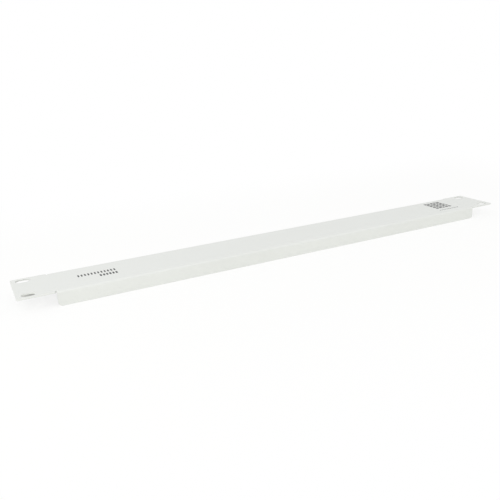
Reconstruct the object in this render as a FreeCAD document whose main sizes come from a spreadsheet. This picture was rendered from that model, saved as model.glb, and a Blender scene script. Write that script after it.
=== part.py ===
"""A one-unit blanking panel for a 19 inch rack, folded from one sheet of steel.

The panel lies face up on the free edges of its two flanges.
X runs along the panel, Y across it, and Z is up out of the front face.
The origin is the middle of the panel, on the surface that it rests on.

The panel is symmetric about X and about Y. So each cut-out is drawn once,
at the +X +Y corner, and mirrors make the rest.
"""

import FreeCAD, Part
import math
import os
import Sketcher

OUTPUT_FOLDER = "parts"
NODE = "blanking_panel"

# Every driving dimension: its name, its value in millimetres, and what it is.
SIZES = [
    ("panel_width", 482.6, "overall width of a 19 inch panel, ear to ear"),
    ("panel_height", 43.6, "one rack unit, less the gap between two panels"),
    ("sheet_thickness", 1.2, "gauge of the steel sheet"),
    ("bend_inner_radius", 0.5, "radius inside each fold"),
    ("flange_depth", 12.0, "from the front face to a flange's free edge"),
    ("flange_corner_radius", 3.0, "rounded free corners of the flanges"),
    ("ear_length", 28.0, "from the end of the flanges to the panel's end"),
    ("ear_corner_radius", 1.0, "rounded corners of the ears"),
    ("relief_width", 1.0, "slit between the end of a fold and the ear"),
    ("relief_depth", 2.5, "how far the slit runs in from the long side"),
    ("slot_end_margin", 8.75, "end of the panel to slot centre: 465.1 apart"),
    ("slot_side_margin", 5.925, "long side to slot centre: 31.75 apart"),
    ("slot_width", 6.8, "clearance for the screws of a rack"),
    ("slot_length", 10.3, "a slot from end to end, with play for the rails"),
    ("edge_break", 0.2, "softened rim that deburring and the coating leave"),
]

# Places that follow from the sizes, as expressions on the sizes sheet. They
# are distances from the middle of the panel, along it or across it.
BEND_OUTER_RADIUS = "(sizes.bend_inner_radius + sizes.sheet_thickness)"
FOLD_LINE = f"(sizes.panel_height / 2 - {BEND_OUTER_RADIUS})"
FLANGE_END = "(sizes.panel_width / 2 - sizes.ear_length)"
RELIEF_END = "(sizes.panel_height / 2 - sizes.relief_depth)"
SLOT_X = "(sizes.panel_width / 2 - sizes.slot_end_margin)"
SLOT_Y = "(sizes.panel_height / 2 - sizes.slot_side_margin)"

CUT_MARGIN = 5.0  # how far a cutting sketch runs past the edge of the sheet
SMALLEST_CUT = 1.0  # a cut that takes less than this, in mm3, has missed
TOLERANCE = 1e-4  # how closely an edge has to lie to its place

# Directions: along the panel, across it, and up out of its front face.
ALONG = FreeCAD.Vector(1, 0, 0)
ACROSS = FreeCAD.Vector(0, 1, 0)
UPRIGHT = FreeCAD.Vector(0, 0, 1)

# How a sketch numbers its own X axis, its origin and the points of a curve.
X_AXIS = -1
ORIGIN = (-1, 1)
START, END, CENTRE = 1, 2, 3


# ---------------------------------------------------------------------------
# The document and its sizes
# ---------------------------------------------------------------------------

def make_sizes(doc):
    """Write the driving dimensions into the document's spreadsheet."""
    sheet = doc.addObject("Spreadsheet::Sheet", "sizes")
    for row, (alias, value, meaning) in enumerate(SIZES, start=1):
        sheet.set(f"A{row}", alias)
        sheet.set(f"B{row}", str(value))
        sheet.set(f"C{row}", meaning)
        sheet.setAlias(f"B{row}", alias)
    doc.recompute()
    return sheet


# ---------------------------------------------------------------------------
# Sketches
# ---------------------------------------------------------------------------

def origin_plane(body, role):
    """One of the body's own origin planes, such as XY_Plane."""
    return next(item for item in body.Origin.OriginFeatures if item.Role == role)


def new_sketch(body, name, role):
    """An empty sketch on one of the body's origin planes."""
    sketch = body.newObject("Sketcher::SketchObject", name)
    sketch.AttachmentSupport = [(origin_plane(body, role), "")]
    sketch.MapMode = "FlatFace"
    return sketch


def new_front_sketch(body, name):
    """An empty sketch in the plane of the front face."""
    sketch = new_sketch(body, name, "XY_Plane")
    sketch.setExpression("AttachmentOffset.Base.z", "sizes.flange_depth")
    return sketch


def relate(sketch, kind, *places):
    """Hold parts of a sketch to each other, with no size of their own."""
    sketch.addConstraint(Sketcher.Constraint(kind, *places))


def dimension(sketch, kind, name, expression, *places):
    """Add a named dimension that follows the sizes."""
    value = sketch.evalExpression(expression)
    index = sketch.addConstraint(Sketcher.Constraint(kind, *places, value))
    sketch.renameConstraint(index, name)
    sketch.setExpression(f"Constraints.{name}", expression)


def add_line(sketch, start, end):
    """Draw a straight line between two points."""
    ends = [FreeCAD.Vector(*point, 0) for point in (start, end)]
    return sketch.addGeometry(Part.LineSegment(*ends))


def add_arc(sketch, centre, radius, first_angle, last_angle):
    """Draw an arc anticlockwise between two angles, given in degrees."""
    circle = Part.Circle()
    circle.Center = FreeCAD.Vector(*centre, 0)
    circle.Radius = radius
    angles = [math.radians(angle) for angle in (first_angle, last_angle)]
    return sketch.addGeometry(Part.ArcOfCircle(circle, *angles))


def add_rectangle(sketch, x0, y0, x1, y1):
    """Draw a rectangle and return its bottom, right, top and left lines."""
    corners = [(x0, y0), (x1, y0), (x1, y1), (x0, y1)]
    lines = [add_line(sketch, corners[i - 4], corners[i - 3]) for i in range(4)]
    for line, following in zip(lines, lines[1:] + lines[:1]):
        relate(sketch, "Coincident", line, END, following, START)
    for line, direction in zip(lines, ["Horizontal", "Vertical"] * 2):
        relate(sketch, direction, line)
    return lines


# ---------------------------------------------------------------------------
# The folded sheet
# ---------------------------------------------------------------------------

def make_face(body, sizes):
    """The flat front, as wide and as high as the whole panel."""
    sketch = new_front_sketch(body, "face_outline")
    x, y = sizes.panel_width / 2, sizes.panel_height / 2
    bottom, right, top, _ = add_rectangle(sketch, -x, -y, x, y)
    relate(sketch, "Symmetric", bottom, START, top, START, *ORIGIN)
    dimension(sketch, "DistanceX", "width", "sizes.panel_width",
              bottom, START, bottom, END)
    dimension(sketch, "DistanceY", "height", "sizes.panel_height",
              right, START, right, END)
    face = body.newObject("PartDesign::Pad", "face")
    face.Profile = sketch
    face.Reversed = True
    face.setExpression("Length", "sizes.sheet_thickness")
    return face


def cut_through(body, sketch, name):
    """Cut a sketch's outline down through the sheet, from the front face."""
    body.Document.recompute()
    volume_before = body.Shape.Volume
    cut = body.newObject("PartDesign::Pocket", name)
    cut.Profile = sketch
    cut.Type = "ThroughAll"
    body.Document.recompute()
    if volume_before - body.Shape.Volume < SMALLEST_CUT:
        raise RuntimeError(f"{name} cuts nothing")
    return cut


def cut_fold_strip(body, sizes):
    """Take away the strip of the flat front that the fold replaces."""
    sketch = new_front_sketch(body, "fold_strip_outline")
    x, y = (sizes.evalExpression(place) for place in (FLANGE_END, FOLD_LINE))
    far_y = sizes.panel_height / 2 + CUT_MARGIN
    bottom, right, _, _ = add_rectangle(sketch, -x, y, x, far_y)
    dimension(sketch, "DistanceX", "flange_end", FLANGE_END, *ORIGIN, bottom, END)
    dimension(sketch, "DistanceX", "length", f"2 * {FLANGE_END}",
              bottom, START, bottom, END)
    dimension(sketch, "DistanceY", "fold_line", FOLD_LINE, *ORIGIN, bottom, END)
    dimension(sketch, "DistanceY", "reach", f"{BEND_OUTER_RADIUS} + {CUT_MARGIN}",
              right, START, right, END)
    return cut_through(body, sketch, "fold_strip")


def fold_flange(body, sizes):
    """The fold and the flange below it, as one section run along the panel."""
    sketch = new_sketch(body, "flange_section", "YZ_Plane")
    outer_radius = sizes.evalExpression(BEND_OUTER_RADIUS)
    inner_radius = sizes.bend_inner_radius
    fold_y = sizes.evalExpression(FOLD_LINE)
    outer_y, inner_y = fold_y + outer_radius, fold_y + inner_radius
    bend_z = sizes.flange_depth - outer_radius

    outer_bend = add_arc(sketch, (fold_y, bend_z), outer_radius, 0, 90)
    inner_bend = add_arc(sketch, (fold_y, bend_z), inner_radius, 0, 90)
    outer_side = add_line(sketch, (outer_y, bend_z), (outer_y, 0))
    free_edge = add_line(sketch, (outer_y, 0), (inner_y, 0))
    inner_side = add_line(sketch, (inner_y, 0), (inner_y, bend_z))
    root = add_line(sketch, (fold_y, bend_z + inner_radius), (fold_y, sizes.flange_depth))

    relate(sketch, "Tangent", outer_bend, START, outer_side, START)
    relate(sketch, "Coincident", outer_side, END, free_edge, START)
    relate(sketch, "Coincident", free_edge, END, inner_side, START)
    relate(sketch, "Tangent", inner_side, END, inner_bend, START)
    relate(sketch, "Coincident", inner_bend, END, root, START)
    relate(sketch, "Coincident", root, END, outer_bend, END)
    relate(sketch, "Coincident", outer_bend, CENTRE, inner_bend, CENTRE)
    relate(sketch, "Vertical", outer_bend, CENTRE, outer_bend, END)
    for upright in (outer_side, inner_side, root):
        relate(sketch, "Vertical", upright)
    relate(sketch, "Horizontal", free_edge)
    relate(sketch, "PointOnObject", free_edge, START, X_AXIS)

    dimension(sketch, "DistanceX", "half_height", "sizes.panel_height / 2",
              *ORIGIN, free_edge, START)
    dimension(sketch, "DistanceX", "thickness", "sizes.sheet_thickness",
              free_edge, END, free_edge, START)
    dimension(sketch, "DistanceY", "depth", "sizes.flange_depth",
              *ORIGIN, root, END)
    dimension(sketch, "Radius", "inner_radius", "sizes.bend_inner_radius",
              inner_bend)

    flange = body.newObject("PartDesign::Pad", "flange")
    flange.Profile = sketch
    flange.SideType = "Symmetric"
    flange.setExpression("Length", f"2 * {FLANGE_END}")
    return flange


def mirror_across_panel(body, features, name):
    """Repeat features on the other long side of the panel."""
    mirror = body.newObject("PartDesign::Mirrored", name)
    mirror.Originals = features
    mirror.MirrorPlane = (origin_plane(body, "XZ_Plane"), [""])
    body.Tip = mirror
    return mirror


# ---------------------------------------------------------------------------
# Cut-outs, each drawn once and mirrored to all four corners
# ---------------------------------------------------------------------------

def cut_relief(body, sizes):
    """The slit that frees the end of the fold from the ear beside it."""
    sketch = new_front_sketch(body, "relief_outline")
    radius = sizes.relief_width / 2
    x0, end_y = (sizes.evalExpression(place) for place in (FLANGE_END, RELIEF_END))
    x1, y0, y1 = x0 + 2 * radius, end_y + radius, sizes.panel_height / 2 + CUT_MARGIN

    flange_side = add_line(sketch, (x0, y1), (x0, y0))
    round_end = add_arc(sketch, (x0 + radius, y0), radius, 180, 360)
    ear_side = add_line(sketch, (x1, y0), (x1, y1))
    outside = add_line(sketch, (x1, y1), (x0, y1))

    relate(sketch, "Tangent", flange_side, END, round_end, START)
    relate(sketch, "Tangent", round_end, END, ear_side, START)
    relate(sketch, "Coincident", ear_side, END, outside, START)
    relate(sketch, "Coincident", outside, END, flange_side, START)
    relate(sketch, "Vertical", flange_side)
    relate(sketch, "Vertical", ear_side)
    relate(sketch, "Horizontal", outside)

    dimension(sketch, "DistanceX", "flange_end", FLANGE_END, *ORIGIN, flange_side, END)
    dimension(sketch, "DistanceY", "round_end_y", f"{RELIEF_END} + sizes.relief_width / 2",
              *ORIGIN, flange_side, END)
    dimension(sketch, "DistanceX", "width", "sizes.relief_width",
              outside, END, outside, START)
    dimension(sketch, "DistanceY", "far_side", f"sizes.panel_height / 2 + {CUT_MARGIN}",
              *ORIGIN, outside, END)
    return cut_through(body, sketch, "relief")


def cut_slot(body, sizes):
    """The round-ended slot that a screw holds the panel to the rack by."""
    sketch = new_front_sketch(body, "slot_outline")
    x, y = (sizes.evalExpression(place) for place in (SLOT_X, SLOT_Y))
    radius = sizes.slot_width / 2
    reach = sizes.slot_length / 2 - radius

    middle = sketch.addGeometry(Part.Point(FreeCAD.Vector(x, y, 0)), True)
    right_end = add_arc(sketch, (x + reach, y), radius, -90, 90)
    upper_side = add_line(sketch, (x + reach, y + radius), (x - reach, y + radius))
    left_end = add_arc(sketch, (x - reach, y), radius, 90, 270)
    lower_side = add_line(sketch, (x - reach, y - radius), (x + reach, y - radius))

    outline = [right_end, upper_side, left_end, lower_side]
    for curve, following in zip(outline, outline[1:] + outline[:1]):
        relate(sketch, "Tangent", curve, END, following, START)
    relate(sketch, "Horizontal", upper_side)
    relate(sketch, "Horizontal", lower_side)
    relate(sketch, "Symmetric", left_end, CENTRE, right_end, CENTRE, middle, START)

    dimension(sketch, "DistanceX", "slot_x", SLOT_X, *ORIGIN, middle, START)
    dimension(sketch, "DistanceY", "slot_y", SLOT_Y, *ORIGIN, middle, START)
    dimension(sketch, "Radius", "end_radius", "sizes.slot_width / 2", right_end)
    dimension(sketch, "DistanceX", "between_ends", "sizes.slot_length - sizes.slot_width",
              left_end, CENTRE, right_end, CENTRE)
    return cut_through(body, sketch, "slot")


def mirror_to_corners(body, features, name):
    """Repeat features from one corner at all four corners."""
    pattern = body.newObject("PartDesign::MultiTransform", name)
    mirrors = []
    for role in ("YZ_Plane", "XZ_Plane"):
        mirror = body.newObject("PartDesign::Mirrored", f"{name}_{role[:2].lower()}")
        mirror.MirrorPlane = (origin_plane(body, role), [""])
        mirrors.append(mirror)
    pattern.Originals = features
    pattern.Transformations = mirrors
    body.Tip = pattern
    return pattern


# ---------------------------------------------------------------------------
# Rounded corners and rims
# ---------------------------------------------------------------------------

def near(value, target):
    """Whether two measures are the same place."""
    return abs(value - target) < TOLERANCE


def runs(edge, axis):
    """Whether an edge is straight and parallel to an axis."""
    if not isinstance(edge.Curve, Part.Line):
        return False
    return near(abs(edge.Curve.Direction.dot(axis)), 1)


def round_edges(body, name, size, belongs):
    """Round every edge of the body for which belongs(edge) is true."""
    body.Document.recompute()
    base = body.Tip
    chosen = [f"Edge{number}" for number, edge in enumerate(base.Shape.Edges, start=1)
              if belongs(edge)]
    if not chosen:
        raise RuntimeError(f"{name} finds no edge to round")
    fillet = body.newObject("PartDesign::Fillet", name)
    fillet.Base = (base, chosen)
    fillet.setExpression("Radius", f"sizes.{size}")
    body.Tip = fillet
    body.Document.recompute()
    return fillet


def round_ear_corners(body, sizes):
    """Round the ears, at the panel's own corners and beside the reliefs."""
    ear_ends = (sizes.panel_width / 2,
                sizes.evalExpression(FLANGE_END) + sizes.relief_width)

    def is_ear_corner(edge):
        """An upright edge through the sheet, on the long side of an ear."""
        corner = edge.Vertexes[0]
        at_end = any(near(abs(corner.X), place) for place in ear_ends)
        on_side = near(abs(corner.Y), sizes.panel_height / 2)
        return runs(edge, UPRIGHT) and at_end and on_side

    return round_edges(body, "ear_corners", "ear_corner_radius", is_ear_corner)


def round_flange_corners(body, sizes):
    """Round the two free corners of each flange."""
    def is_flange_corner(edge):
        """An edge through the sheet, at the end of a flange's free edge."""
        corner = edge.Vertexes[0]
        return runs(edge, ACROSS) and near(corner.Z, 0)

    return round_edges(body, "flange_corners", "flange_corner_radius", is_flange_corner)


def soften_front_rims(body, sizes):
    """Soften the rim of the front face, down round the flanges, and its slots."""
    fold_y = sizes.evalExpression(FOLD_LINE)

    def is_front_rim(edge):
        """An edge of the front face, other than where a fold begins."""
        in_front = all(near(end.Z, sizes.flange_depth) for end in edge.Vertexes)
        at_fold = all(near(abs(end.Y), fold_y) for end in edge.Vertexes)
        return in_front and not (at_fold and runs(edge, ALONG))

    return round_edges(body, "front_rims", "edge_break", is_front_rim)


# ---------------------------------------------------------------------------
# The whole panel
# ---------------------------------------------------------------------------

def make_panel(doc, sizes):
    """The folded sheet, with its cut-outs and its rounded corners."""
    panel = doc.addObject("PartDesign::Body", NODE)
    panel.Label = NODE
    make_face(panel, sizes)
    fold_strip = cut_fold_strip(panel, sizes)
    flange = fold_flange(panel, sizes)
    mirror_across_panel(panel, [fold_strip, flange], "second_flange")
    relief = cut_relief(panel, sizes)
    mirror_to_corners(panel, [relief], "reliefs")
    slot = cut_slot(panel, sizes)
    mirror_to_corners(panel, [slot], "slots")
    round_ear_corners(panel, sizes)
    round_flange_corners(panel, sizes)
    soften_front_rims(panel, sizes)
    return panel


def check(doc, panel, sizes):
    """Stop unless every feature is sound and the panel has its named sizes."""
    for item in doc.Objects:
        if "Invalid" in item.State or "Error" in item.State:
            raise RuntimeError(f"{item.Name} has failed: {item.State}")
        if item.TypeId == "Sketcher::SketchObject" and not item.FullyConstrained:
            raise RuntimeError(f"{item.Name} isn't fully constrained")
    shape = panel.Shape
    if shape.isNull() or not shape.isValid() or len(shape.Solids) != 1:
        raise RuntimeError("the panel isn't one sound solid")
    box = shape.optimalBoundingBox()
    wanted = (sizes.panel_width, sizes.panel_height, sizes.flange_depth)
    for made, size in zip((box.XLength, box.YLength, box.ZLength), wanted):
        if abs(made - size) > TOLERANCE:
            raise RuntimeError(f"the panel measures {made:.3f} mm, not {size:.3f} mm")
    print(f"{NODE}: {box.XLength:.1f} x {box.YLength:.1f} x {box.ZLength:.1f} mm,"
          f" {shape.Volume:.0f} mm3, {len(shape.Faces)} faces")


def main():
    """Build the panel, check it and write its solid."""
    doc = FreeCAD.newDocument("rack_blanking_panel")
    sizes = make_sizes(doc)
    panel = make_panel(doc, sizes)
    doc.recompute()
    check(doc, panel, sizes)
    os.makedirs(OUTPUT_FOLDER, exist_ok=True)
    panel.Shape.exportStep(os.path.join(OUTPUT_FOLDER, f"{panel.Label}.step"))


main()
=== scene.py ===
# %% [markdown]
# # A blanking panel for a 19 inch rack
#
# The object is one sheet of steel, folded along both long sides and powder
# coated light grey. It closes an empty place in a rack. Small dark marks are
# printed on its face, one group near each end.
#
# The panel's solid is already exact, so this lesson doesn't model it again.
# It gives the panel its coating, prints the marks, and sets up a white table,
# soft light and a camera.

# %% Load the panel
from math import pi, radians

import bmesh
import bpy
from mathutils import Matrix, Vector


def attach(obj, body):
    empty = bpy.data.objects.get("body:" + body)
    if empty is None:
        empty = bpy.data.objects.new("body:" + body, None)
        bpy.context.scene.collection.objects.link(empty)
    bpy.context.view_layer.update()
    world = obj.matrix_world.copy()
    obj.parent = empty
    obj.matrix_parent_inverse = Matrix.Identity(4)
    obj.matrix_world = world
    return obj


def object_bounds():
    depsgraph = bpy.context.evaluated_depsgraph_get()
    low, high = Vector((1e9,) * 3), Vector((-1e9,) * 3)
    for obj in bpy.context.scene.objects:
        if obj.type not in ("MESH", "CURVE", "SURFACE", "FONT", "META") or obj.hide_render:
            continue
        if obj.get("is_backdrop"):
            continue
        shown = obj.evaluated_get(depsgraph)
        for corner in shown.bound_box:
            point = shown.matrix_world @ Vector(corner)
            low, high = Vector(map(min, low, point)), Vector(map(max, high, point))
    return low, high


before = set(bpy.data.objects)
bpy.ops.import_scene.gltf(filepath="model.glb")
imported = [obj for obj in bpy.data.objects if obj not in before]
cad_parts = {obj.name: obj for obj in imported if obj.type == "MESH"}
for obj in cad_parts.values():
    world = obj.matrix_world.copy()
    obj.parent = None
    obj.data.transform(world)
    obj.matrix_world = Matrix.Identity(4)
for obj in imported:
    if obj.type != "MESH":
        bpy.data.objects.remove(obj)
solid_low, solid_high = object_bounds()
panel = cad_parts["blanking_panel"]
print("panel size in mm:", [round(side * 1000, 2) for side in solid_high - solid_low])

# %% [markdown]
# ## Units and places
#
# Blender works in metres here, and a panel is easier to think of in
# millimetres. So one name, MM, turns one into the other. The face's height
# comes from the panel itself, and everything printed is placed from there.

# %% Units and places
MM = 0.001
face_z = solid_high.z
print("front face at", round(face_z / MM, 2), "mm above the table")

# %% [markdown]
# ## A helper for node groups
#
# Effects that several finishes share are kept in node groups: boxes with
# named inputs and outputs, made once and used in every material that wants
# them. This helper makes an empty group with its sockets.


# %% Make an empty node group
def new_effect(name, inputs, outputs):
    """A shader node group with named sockets, and its two end nodes."""
    group = bpy.data.node_groups.new(name, "ShaderNodeTree")
    for label, kind, value in inputs:
        socket = group.interface.new_socket(label, in_out="INPUT", socket_type=kind)
        if value is not None:
            socket.default_value = value
    for label, kind in outputs:
        group.interface.new_socket(label, in_out="OUTPUT", socket_type=kind)
    entry = group.nodes.new("NodeGroupInput")
    leave = group.nodes.new("NodeGroupOutput")
    return group, entry, leave


def add_noise(tree, coordinates, scale, detail):
    """A noise texture that takes its coordinates and its scale from sockets."""
    noise = tree.nodes.new("ShaderNodeTexNoise")
    noise.inputs["Detail"].default_value = detail
    tree.links.new(coordinates, noise.inputs["Vector"])
    tree.links.new(scale, noise.inputs["Scale"])
    return noise.outputs["Fac"]


# %% [markdown]
# ## Sums between nodes
#
# Masks and blends come down to small sums. Each sum is a node with a few
# settings, so two helpers keep the later cells short: one for a sum of two
# values, and one that carries a value from one range of numbers to another.

# %% Sums between nodes
def calculate(tree, operation, first, second=0):
    """A Math node between two values, each a socket or a plain number."""
    node = tree.nodes.new("ShaderNodeMath")
    node.operation = operation
    for value, socket in zip((first, second), node.inputs):
        if isinstance(value, bpy.types.NodeSocket):
            tree.links.new(value, socket)
        else:
            socket.default_value = value
    return node.outputs["Value"]


def change_range(tree, value, from_range, to_range, interpolation="LINEAR"):
    """Carry a value from one range of numbers over to another."""
    node = tree.nodes.new("ShaderNodeMapRange")
    node.interpolation_type = interpolation
    labels = ("From Min", "From Max", "To Min", "To Max")
    for label, number in zip(labels, (*from_range, *to_range)):
        node.inputs[label].default_value = number
    tree.links.new(value, node.inputs["Value"])
    return node.outputs["Result"]


# %% [markdown]
# ## Orange peel
#
# Powder melts on the hot steel and flows out, but never quite flat. The skin
# keeps low lumps about a millimetre across, which makers call orange peel.
# A bitmap could show it, but it would need an unwrapped mesh. Noise in the
# object's own coordinates needs none, and stays the right size everywhere.
# The group puts out a height, and each material decides how deep it is.

# %% Effect: orange peel
LUMPS_PER_METRE = 900
LUMP_DETAIL = 1.5

orange_peel, entry, leave = new_effect(
    "orange_peel",
    inputs=[
        ("Coordinates", "NodeSocketVector", None),
        ("Lumps per Metre", "NodeSocketFloat", LUMPS_PER_METRE),
    ],
    outputs=[("Height", "NodeSocketFloat")],
)
lumps = add_noise(
    orange_peel, entry.outputs["Coordinates"],
    scale=entry.outputs["Lumps per Metre"], detail=LUMP_DETAIL,
)
orange_peel.links.new(lumps, leave.inputs["Height"])
print("effect:", orange_peel.name)

# %% [markdown]
# ## Uneven film
#
# The film is a little thicker in some places than in others, over a few
# centimetres. There the colour and the gloss change by a hair. The group
# puts out a slow mask from 0 to 1 that the materials use for both.

# %% Effect: uneven film
PATCHES_PER_METRE = 18
PATCH_DETAIL = 2.0
NOISE_SPAN = (0.3, 0.7)  # a noise texture seldom goes past these values

uneven_film, entry, leave = new_effect(
    "uneven_film",
    inputs=[
        ("Coordinates", "NodeSocketVector", None),
        ("Patches per Metre", "NodeSocketFloat", PATCHES_PER_METRE),
    ],
    outputs=[("Mask", "NodeSocketFloat")],
)
patches = add_noise(
    uneven_film, entry.outputs["Coordinates"],
    scale=entry.outputs["Patches per Metre"], detail=PATCH_DETAIL,
)
spread = change_range(uneven_film, patches, NOISE_SPAN, (0, 1))
uneven_film.links.new(spread, leave.inputs["Mask"])
print("effect:", uneven_film.name)


# %% [markdown]
# ## A helper for finishes
#
# Every finish here is a Principled shader whose colour and roughness drift
# slowly and whose surface has fine lumps. Only the numbers differ, so one
# helper builds them all from the two effects.


# %% Make a finish
def place_effect(tree, effect, coordinates, scale_label, per_metre):
    """Put an effect into a material, give it its scale, and return its output."""
    node = tree.nodes.new("ShaderNodeGroup")
    node.node_tree = effect
    node.inputs[scale_label].default_value = per_metre
    tree.links.new(coordinates, node.inputs["Coordinates"])
    return node.outputs[0]


def blend_colours(tree, amount, first, second):
    """The first colour where the amount is 0, the second where it is 1."""
    node = tree.nodes.new("ShaderNodeMix")
    node.data_type = "RGBA"
    node.inputs["A"].default_value = (*first, 1)
    node.inputs["B"].default_value = (*second, 1)
    tree.links.new(amount, node.inputs["Factor"])
    return node.outputs["Result"]


def make_finish(
    name, colours, roughness, lumps_per_metre, lump_depth, patches_per_metre
):
    """A material between two colours and two roughnesses, with fine lumps."""
    material = bpy.data.materials.new(name)
    material.use_nodes = True
    tree = material.node_tree
    shader = tree.nodes["Principled BSDF"]
    coordinates = tree.nodes.new("ShaderNodeTexCoord").outputs["Object"]

    mask = place_effect(
        tree, uneven_film, coordinates, "Patches per Metre", patches_per_metre
    )
    tint = blend_colours(tree, mask, *colours)
    tree.links.new(tint, shader.inputs["Base Color"])
    gloss = change_range(tree, mask, (0, 1), roughness)
    tree.links.new(gloss, shader.inputs["Roughness"])

    height = place_effect(
        tree, orange_peel, coordinates, "Lumps per Metre", lumps_per_metre
    )
    bump = tree.nodes.new("ShaderNodeBump")
    bump.inputs["Distance"].default_value = lump_depth
    tree.links.new(height, bump.inputs["Height"])
    tree.links.new(bump.outputs["Normal"], shader.inputs["Normal"])
    return material


# %% [markdown]
# ## The powder coat
#
# The coating is a light grey with a breath of green, satin rather than
# glossy. Light grey is a colour of about 0.8, not 1: a white that bright
# would glare next to a white table.

# %% The powder coat
powder_coat = make_finish(
    "powder_coat",
    colours=[(0.775, 0.79, 0.762), (0.79, 0.805, 0.778)],
    roughness=(0.42, 0.50),
    lumps_per_metre=LUMPS_PER_METRE,
    lump_depth=0.012 * MM,
    patches_per_metre=PATCHES_PER_METRE,
)
for slot in panel.material_slots:
    slot.material = powder_coat
print("coated:", panel.name)

# %% [markdown]
# ## The printing ink
#
# The marks are screen printed: a thin, flat, nearly black ink that takes on
# the lumps of the coating below it. It is duller than the coating.

# %% The printing ink
printing_ink = make_finish(
    "printing_ink",
    colours=[(0.035, 0.036, 0.038), (0.06, 0.061, 0.064)],
    roughness=(0.55, 0.65),
    lumps_per_metre=LUMPS_PER_METRE,
    lump_depth=0.008 * MM,
    patches_per_metre=400,
)
print("ink:", printing_ink.name)


# %% [markdown]
# ## One printed mark
#
# A printed mark could be a dark patch in the coating's material, but then
# its edge is only as sharp as the pattern's numbers. Here each mark is a
# real film of ink: a flat rectangle with its four corners bevelled round,
# then extruded up by the ink's thickness.

# %% Draw one printed mark
INK_THICKNESS = 0.03 * MM
MARK_CORNER = 0.2 * MM
CORNER_STEPS = 3
HALF = 0.5  # a grid of this size is 1 wide, so its scale is its size


def add_mark(ink, middle, size):
    """Add a round-cornered film of ink to a bmesh, lying on the face."""
    flat = bmesh.ops.create_grid(ink, x_segments=1, y_segments=1, size=HALF)
    bmesh.ops.scale(ink, vec=(*size, 1), verts=flat["verts"])
    bmesh.ops.translate(ink, vec=(*middle, face_z), verts=flat["verts"])
    rounded = bmesh.ops.bevel(
        ink, geom=flat["verts"], offset=MARK_CORNER, affect="VERTICES",
        segments=CORNER_STEPS, profile=0.5, material=-1,
    )
    outline = rounded["verts"][0].link_faces[0]
    raised = bmesh.ops.extrude_face_region(ink, geom=[outline], use_keep_orig=True)
    lifted = [
        item for item in raised["geom"] if isinstance(item, bmesh.types.BMVert)
    ]
    bmesh.ops.translate(ink, vec=(0, 0, INK_THICKNESS), verts=lifted)


# %% Turn a set of marks into a piece
def finish_print(name, ink):
    """Make a bmesh of marks into a piece that goes with the panel."""
    bmesh.ops.recalc_face_normals(ink, faces=ink.faces)
    mesh = bpy.data.meshes.new(name)
    ink.to_mesh(mesh)
    ink.free()
    piece = bpy.data.objects.new(name, mesh)
    bpy.context.scene.collection.objects.link(piece)
    mesh.materials.append(printing_ink)
    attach(piece, "root")
    print(name, "has", len(mesh.polygons), "faces")


# %% [markdown]
# ## The scale near the left end
#
# Two short rows of upright strokes, like part of a rule. The lower row is
# shorter and bolder, and both rows end level on the right.

# %% The scale near the left end
def add_strokes(ink, right_end, middle_y, count, pitch, stroke):
    """Add a row of upright strokes that ends level at its right end."""
    for number in range(count):
        middle_x = right_end - stroke[0] / 2 - number * pitch
        add_mark(ink, (middle_x, middle_y), stroke)


SCALE_RIGHT_END = -163.6 * MM
STROKE_HEIGHT = 4.2 * MM

scale_ink = bmesh.new()
add_strokes(
    scale_ink, SCALE_RIGHT_END, middle_y=1.8 * MM,
    count=12, pitch=2.6 * MM, stroke=(1.2 * MM, STROKE_HEIGHT),
)
add_strokes(
    scale_ink, SCALE_RIGHT_END, middle_y=-5.4 * MM,
    count=6, pitch=2.5 * MM, stroke=(1.4 * MM, STROKE_HEIGHT),
)
finish_print("scale_print", scale_ink)

# %% [markdown]
# ## The grid near the right end
#
# A plain grid of small square marks, with a row of fine dashes below it.
# The marks leave narrow gaps, so from a distance the grid reads as one grey
# square, and close up it keeps its texture.

# %% The grid near the right end
GRID_MIDDLE = Vector((188.8, 4.3)) * MM
GRID_SIDE = 22.0 * MM
GRID_COUNT = 5
GRID_FILLED = 0.7  # the share of a cell's side that its mark takes
DASHES_RIGHT_END = 201.4 * MM


def add_grid(ink, middle, side, count, filled):
    """Add a square grid of square marks, each filling part of its cell."""
    cell = side / count
    first = middle - Vector((1, 1)) * cell * (count - 1) / 2
    for row in range(count):
        for column in range(count):
            place = first + Vector((column, row)) * cell
            add_mark(ink, place, (cell * filled, cell * filled))


grid_ink = bmesh.new()
add_grid(grid_ink, GRID_MIDDLE, GRID_SIDE, GRID_COUNT, GRID_FILLED)
add_strokes(
    grid_ink, DASHES_RIGHT_END, middle_y=-12.3 * MM,
    count=11, pitch=2.4 * MM, stroke=(1.4 * MM, 1.2 * MM),
)
finish_print("grid_print", grid_ink)


# %% [markdown]
# ## The white table
#
# The panel lies face up on the edges of its flanges, on white paper. For
# rays that come straight from the camera, or by way of a mirror or glass,
# the paper is blended towards pure white, so the panel's shadow looks faint.
# That puts no more light on the panel. Away from the panel the blend rises
# until the paper is plain white, so no horizon shows.
#
# The blend is left out where the shade is deepest: in the channel between the
# flanges, and close behind the panel, on the side away from the lamps. There
# the paper's colour is darkened too, as painted shade, which also lets less
# light bounce about under the panel. The slots look down into that shade, and
# it makes them read as holes.

# %% Which rays see plain white
def sees_background(tree):
    """1 for camera, glossy and transmission rays, and 0 for the rest."""
    rays = tree.nodes.new("ShaderNodeLightPath").outputs
    bent = calculate(
        tree, "MAXIMUM", rays["Is Glossy Ray"], rays["Is Transmission Ray"]
    )
    return calculate(tree, "MAXIMUM", rays["Is Camera Ray"], bent)


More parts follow.
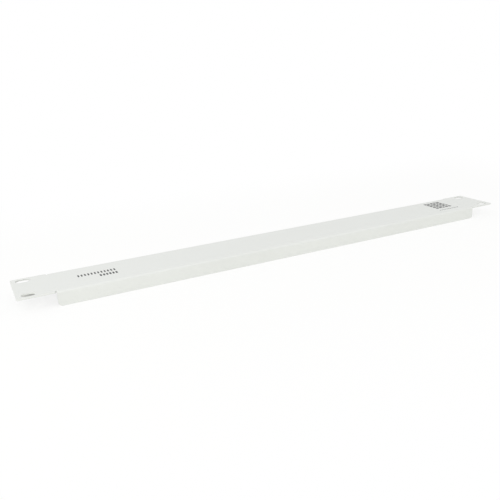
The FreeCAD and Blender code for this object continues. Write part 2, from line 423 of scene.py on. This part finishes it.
# %% Masks for places on the table
# Each pair of distances says where a mask is 0 and where it reaches 1.
FAR_ALONG = (300 * MM, 550 * MM)
FAR_ACROSS = (80 * MM, 330 * MM)
CHANNEL_ENDS = (207 * MM, 185 * MM)
CHANNEL_SIDES = (21.8 * MM, 20.6 * MM)  # under the flanges' free edges
BEHIND_LEFT_END = (-240 * MM, -233 * MM)
BEHIND_FRONT = (5 * MM, 12.5 * MM)
BEHIND_BACK = (47 * MM, 22 * MM)


def fade(tree, value, none_and_full):
    """0 at one value and beyond it, 1 at another, and smooth between."""
    return change_range(tree, value, none_and_full, (0, 1), "SMOOTHSTEP")


def far_from_panel(tree, along, across):
    """1 where the table is far off, and 0 round the panel."""
    past_ends = fade(tree, calculate(tree, "ABSOLUTE", along), FAR_ALONG)
    past_sides = fade(tree, calculate(tree, "ABSOLUTE", across), FAR_ACROSS)
    return calculate(tree, "MAXIMUM", past_ends, past_sides)


def in_deep_shade(tree, along, across):
    """1 in the channel and close behind the panel, and 0 elsewhere."""
    between_ends = fade(tree, calculate(tree, "ABSOLUTE", along), CHANNEL_ENDS)
    between_sides = fade(tree, calculate(tree, "ABSOLUTE", across), CHANNEL_SIDES)
    channel = calculate(tree, "MULTIPLY", between_ends, between_sides)

    behind = fade(tree, along, BEHIND_LEFT_END)
    for distance, none_and_full in (
        (along, CHANNEL_ENDS),
        (across, BEHIND_FRONT),
        (across, BEHIND_BACK),
    ):
        part = fade(tree, distance, none_and_full)
        behind = calculate(tree, "MULTIPLY", behind, part)
    return calculate(tree, "MAXIMUM", channel, behind)


# %% The white table
WHITE_SHARE = 0.82  # how far the paper round the panel is blended to white
PAPER_COLOUR = (0.97, 0.97, 0.94)
# painted shade: the paper is coloured darker where the shade is deepest
PAINTED_SHADE_PAPER_COLOUR = (0.78, 0.78, 0.76)
PAPER_ROUGHNESS = 0.9


def make_paper():
    """A matt white whose shadows look fainter than they are, with painted shade where the
    shade is deepest.
    """
    material = bpy.data.materials.new("white_paper")
    material.use_nodes = True
    tree = material.node_tree
    place = tree.nodes.new("ShaderNodeSeparateXYZ")
    coordinates = tree.nodes.new("ShaderNodeTexCoord").outputs["Object"]
    tree.links.new(coordinates, place.inputs["Vector"])
    along, across = place.outputs["X"], place.outputs["Y"]
    shade = in_deep_shade(tree, along, across)

    shader = tree.nodes["Principled BSDF"]
    shader.inputs["Roughness"].default_value = PAPER_ROUGHNESS
    shader.inputs["Specular IOR Level"].default_value = 0
    # Painted shade: the paper's colour darkens inside the deep-shade mask.
    colour = blend_colours(tree, shade, PAPER_COLOUR, PAINTED_SHADE_PAPER_COLOUR)
    tree.links.new(colour, shader.inputs["Base Color"])
    pure_white = tree.nodes.new("ShaderNodeEmission")

    far = far_from_panel(tree, along, across)
    share = change_range(tree, far, (0, 1), (WHITE_SHARE, 1))
    share = calculate(tree, "MULTIPLY", share, calculate(tree, "SUBTRACT", 1, shade))
    share = calculate(tree, "MULTIPLY", share, sees_background(tree))
    blend = tree.nodes.new("ShaderNodeMixShader")
    tree.links.new(share, blend.inputs["Fac"])
    tree.links.new(shader.outputs["BSDF"], blend.inputs[1])
    tree.links.new(pure_white.outputs["Emission"], blend.inputs[2])
    surface = tree.nodes["Material Output"].inputs["Surface"]
    tree.links.new(blend.outputs["Shader"], surface)
    return material


TABLE_HALF_SIDE = 6.0

table_shape = bmesh.new()
bmesh.ops.create_grid(
    table_shape, x_segments=1, y_segments=1, size=TABLE_HALF_SIDE
)
table_mesh = bpy.data.meshes.new("table")
table_shape.to_mesh(table_mesh)
table_shape.free()
table_mesh.materials.append(make_paper())
table = bpy.data.objects.new("table", table_mesh)
bpy.context.scene.collection.objects.link(table)
table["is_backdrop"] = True
print("table at z = 0, where the flanges rest")

# %% [markdown]
# ## Soft light from all round
#
# A product like this is shot in a white tent, where light comes from
# everywhere and shadows almost vanish. The world gives that light. As on the
# table, rays that look straight at it see plain white.

# %% Soft light from all round
TENT_LIGHT = 0.8

world = bpy.data.worlds.new("white_tent")
bpy.context.scene.world = world
world.use_nodes = True
tent = world.node_tree
background = tent.nodes["Background"]
background.inputs["Color"].default_value = (1, 1, 1, 1)
strength = change_range(tent, sees_background(tent), (0, 1), (TENT_LIGHT, 1))
tent.links.new(strength, background.inputs["Strength"])
print("tent light:", TENT_LIGHT)


# %% [markdown]
# ## Three soft lamps
#
# A tent alone makes the picture flat. A wide key lamp, up on the left, makes
# the left end a little brighter than the right. A second wide lamp, low in
# front and to the right, draws a soft line of light along the fold. A small
# weak one close to the left end lifts that end a little more. All are area
# lamps, because a wide lamp gives the soft edges that a bare bulb can't.

# %% Three soft lamps
def add_soft_lamp(name, place, target, side, power):
    """A square area lamp that points at a target."""
    lamp = bpy.data.lights.new(name, "AREA")
    lamp.size = side
    lamp.energy = power
    holder = bpy.data.objects.new(name, lamp)
    holder.location = place
    direction = Vector(target) - Vector(place)
    holder.rotation_euler = direction.to_track_quat("-Z", "Y").to_euler()
    bpy.context.scene.collection.objects.link(holder)
    print(name, "gives", power, "W")


add_soft_lamp(
    "key_lamp", place=(-0.9, -0.7, 1.3), target=(-0.05, 0, 0), side=0.9, power=6.2
)
add_soft_lamp(
    "front_lamp", place=(0.9, -1.7, 0.5), target=(0.1, 0, 0), side=0.9, power=2.1
)
add_soft_lamp(
    "end_lamp", place=(-0.42, -0.12, 0.22), target=(-0.236, 0, 0),
    side=0.1, power=0.045,
)

# %% [markdown]
# ## The camera
#
# The camera stands beyond the left end and looks along the panel and down on
# it, so the panel runs away to the right. Three turns aim it: the heading is
# the compass direction, the tilt looks down, and the small roll leans the
# camera on its side.

# %% The camera
CAMERA_PLACE = Vector((-263.9, -432.1, 169.8)) * MM
HEADING = radians(27.20)
TILT_DOWN = radians(18.65)
ROLL = radians(-2.06)
SENSOR_WIDTH = 36.0
FOCAL_LENGTH = 41.1

lens = bpy.data.cameras.new("camera")
lens.sensor_width = SENSOR_WIDTH
lens.lens = FOCAL_LENGTH
camera = bpy.data.objects.new("camera", lens)
aim = (
    Matrix.Rotation(-HEADING, 4, "Z")
    @ Matrix.Rotation(pi / 2 - TILT_DOWN, 4, "X")
    @ Matrix.Rotation(ROLL, 4, "Z")
)
camera.matrix_world = Matrix.Translation(CAMERA_PLACE) @ aim
bpy.context.scene.collection.objects.link(camera)
bpy.context.scene.camera = camera
bpy.context.scene.view_settings.view_transform = "Standard"
camera_distance = (CAMERA_PLACE - Vector((0, 0, face_z))).length
print("camera is", round(camera_distance, 3), "m from the panel")

# %% [markdown]
# ## Measure the result
#
# The dressed panel has to be as large as the bare one, so its box is written
# down too, as the bare one's was at the start.

# %% Measure the result
dressed_low, dressed_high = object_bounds()
dressed_size = dressed_high - dressed_low
print("dressed size in mm:", [round(side / MM, 2) for side in dressed_size])
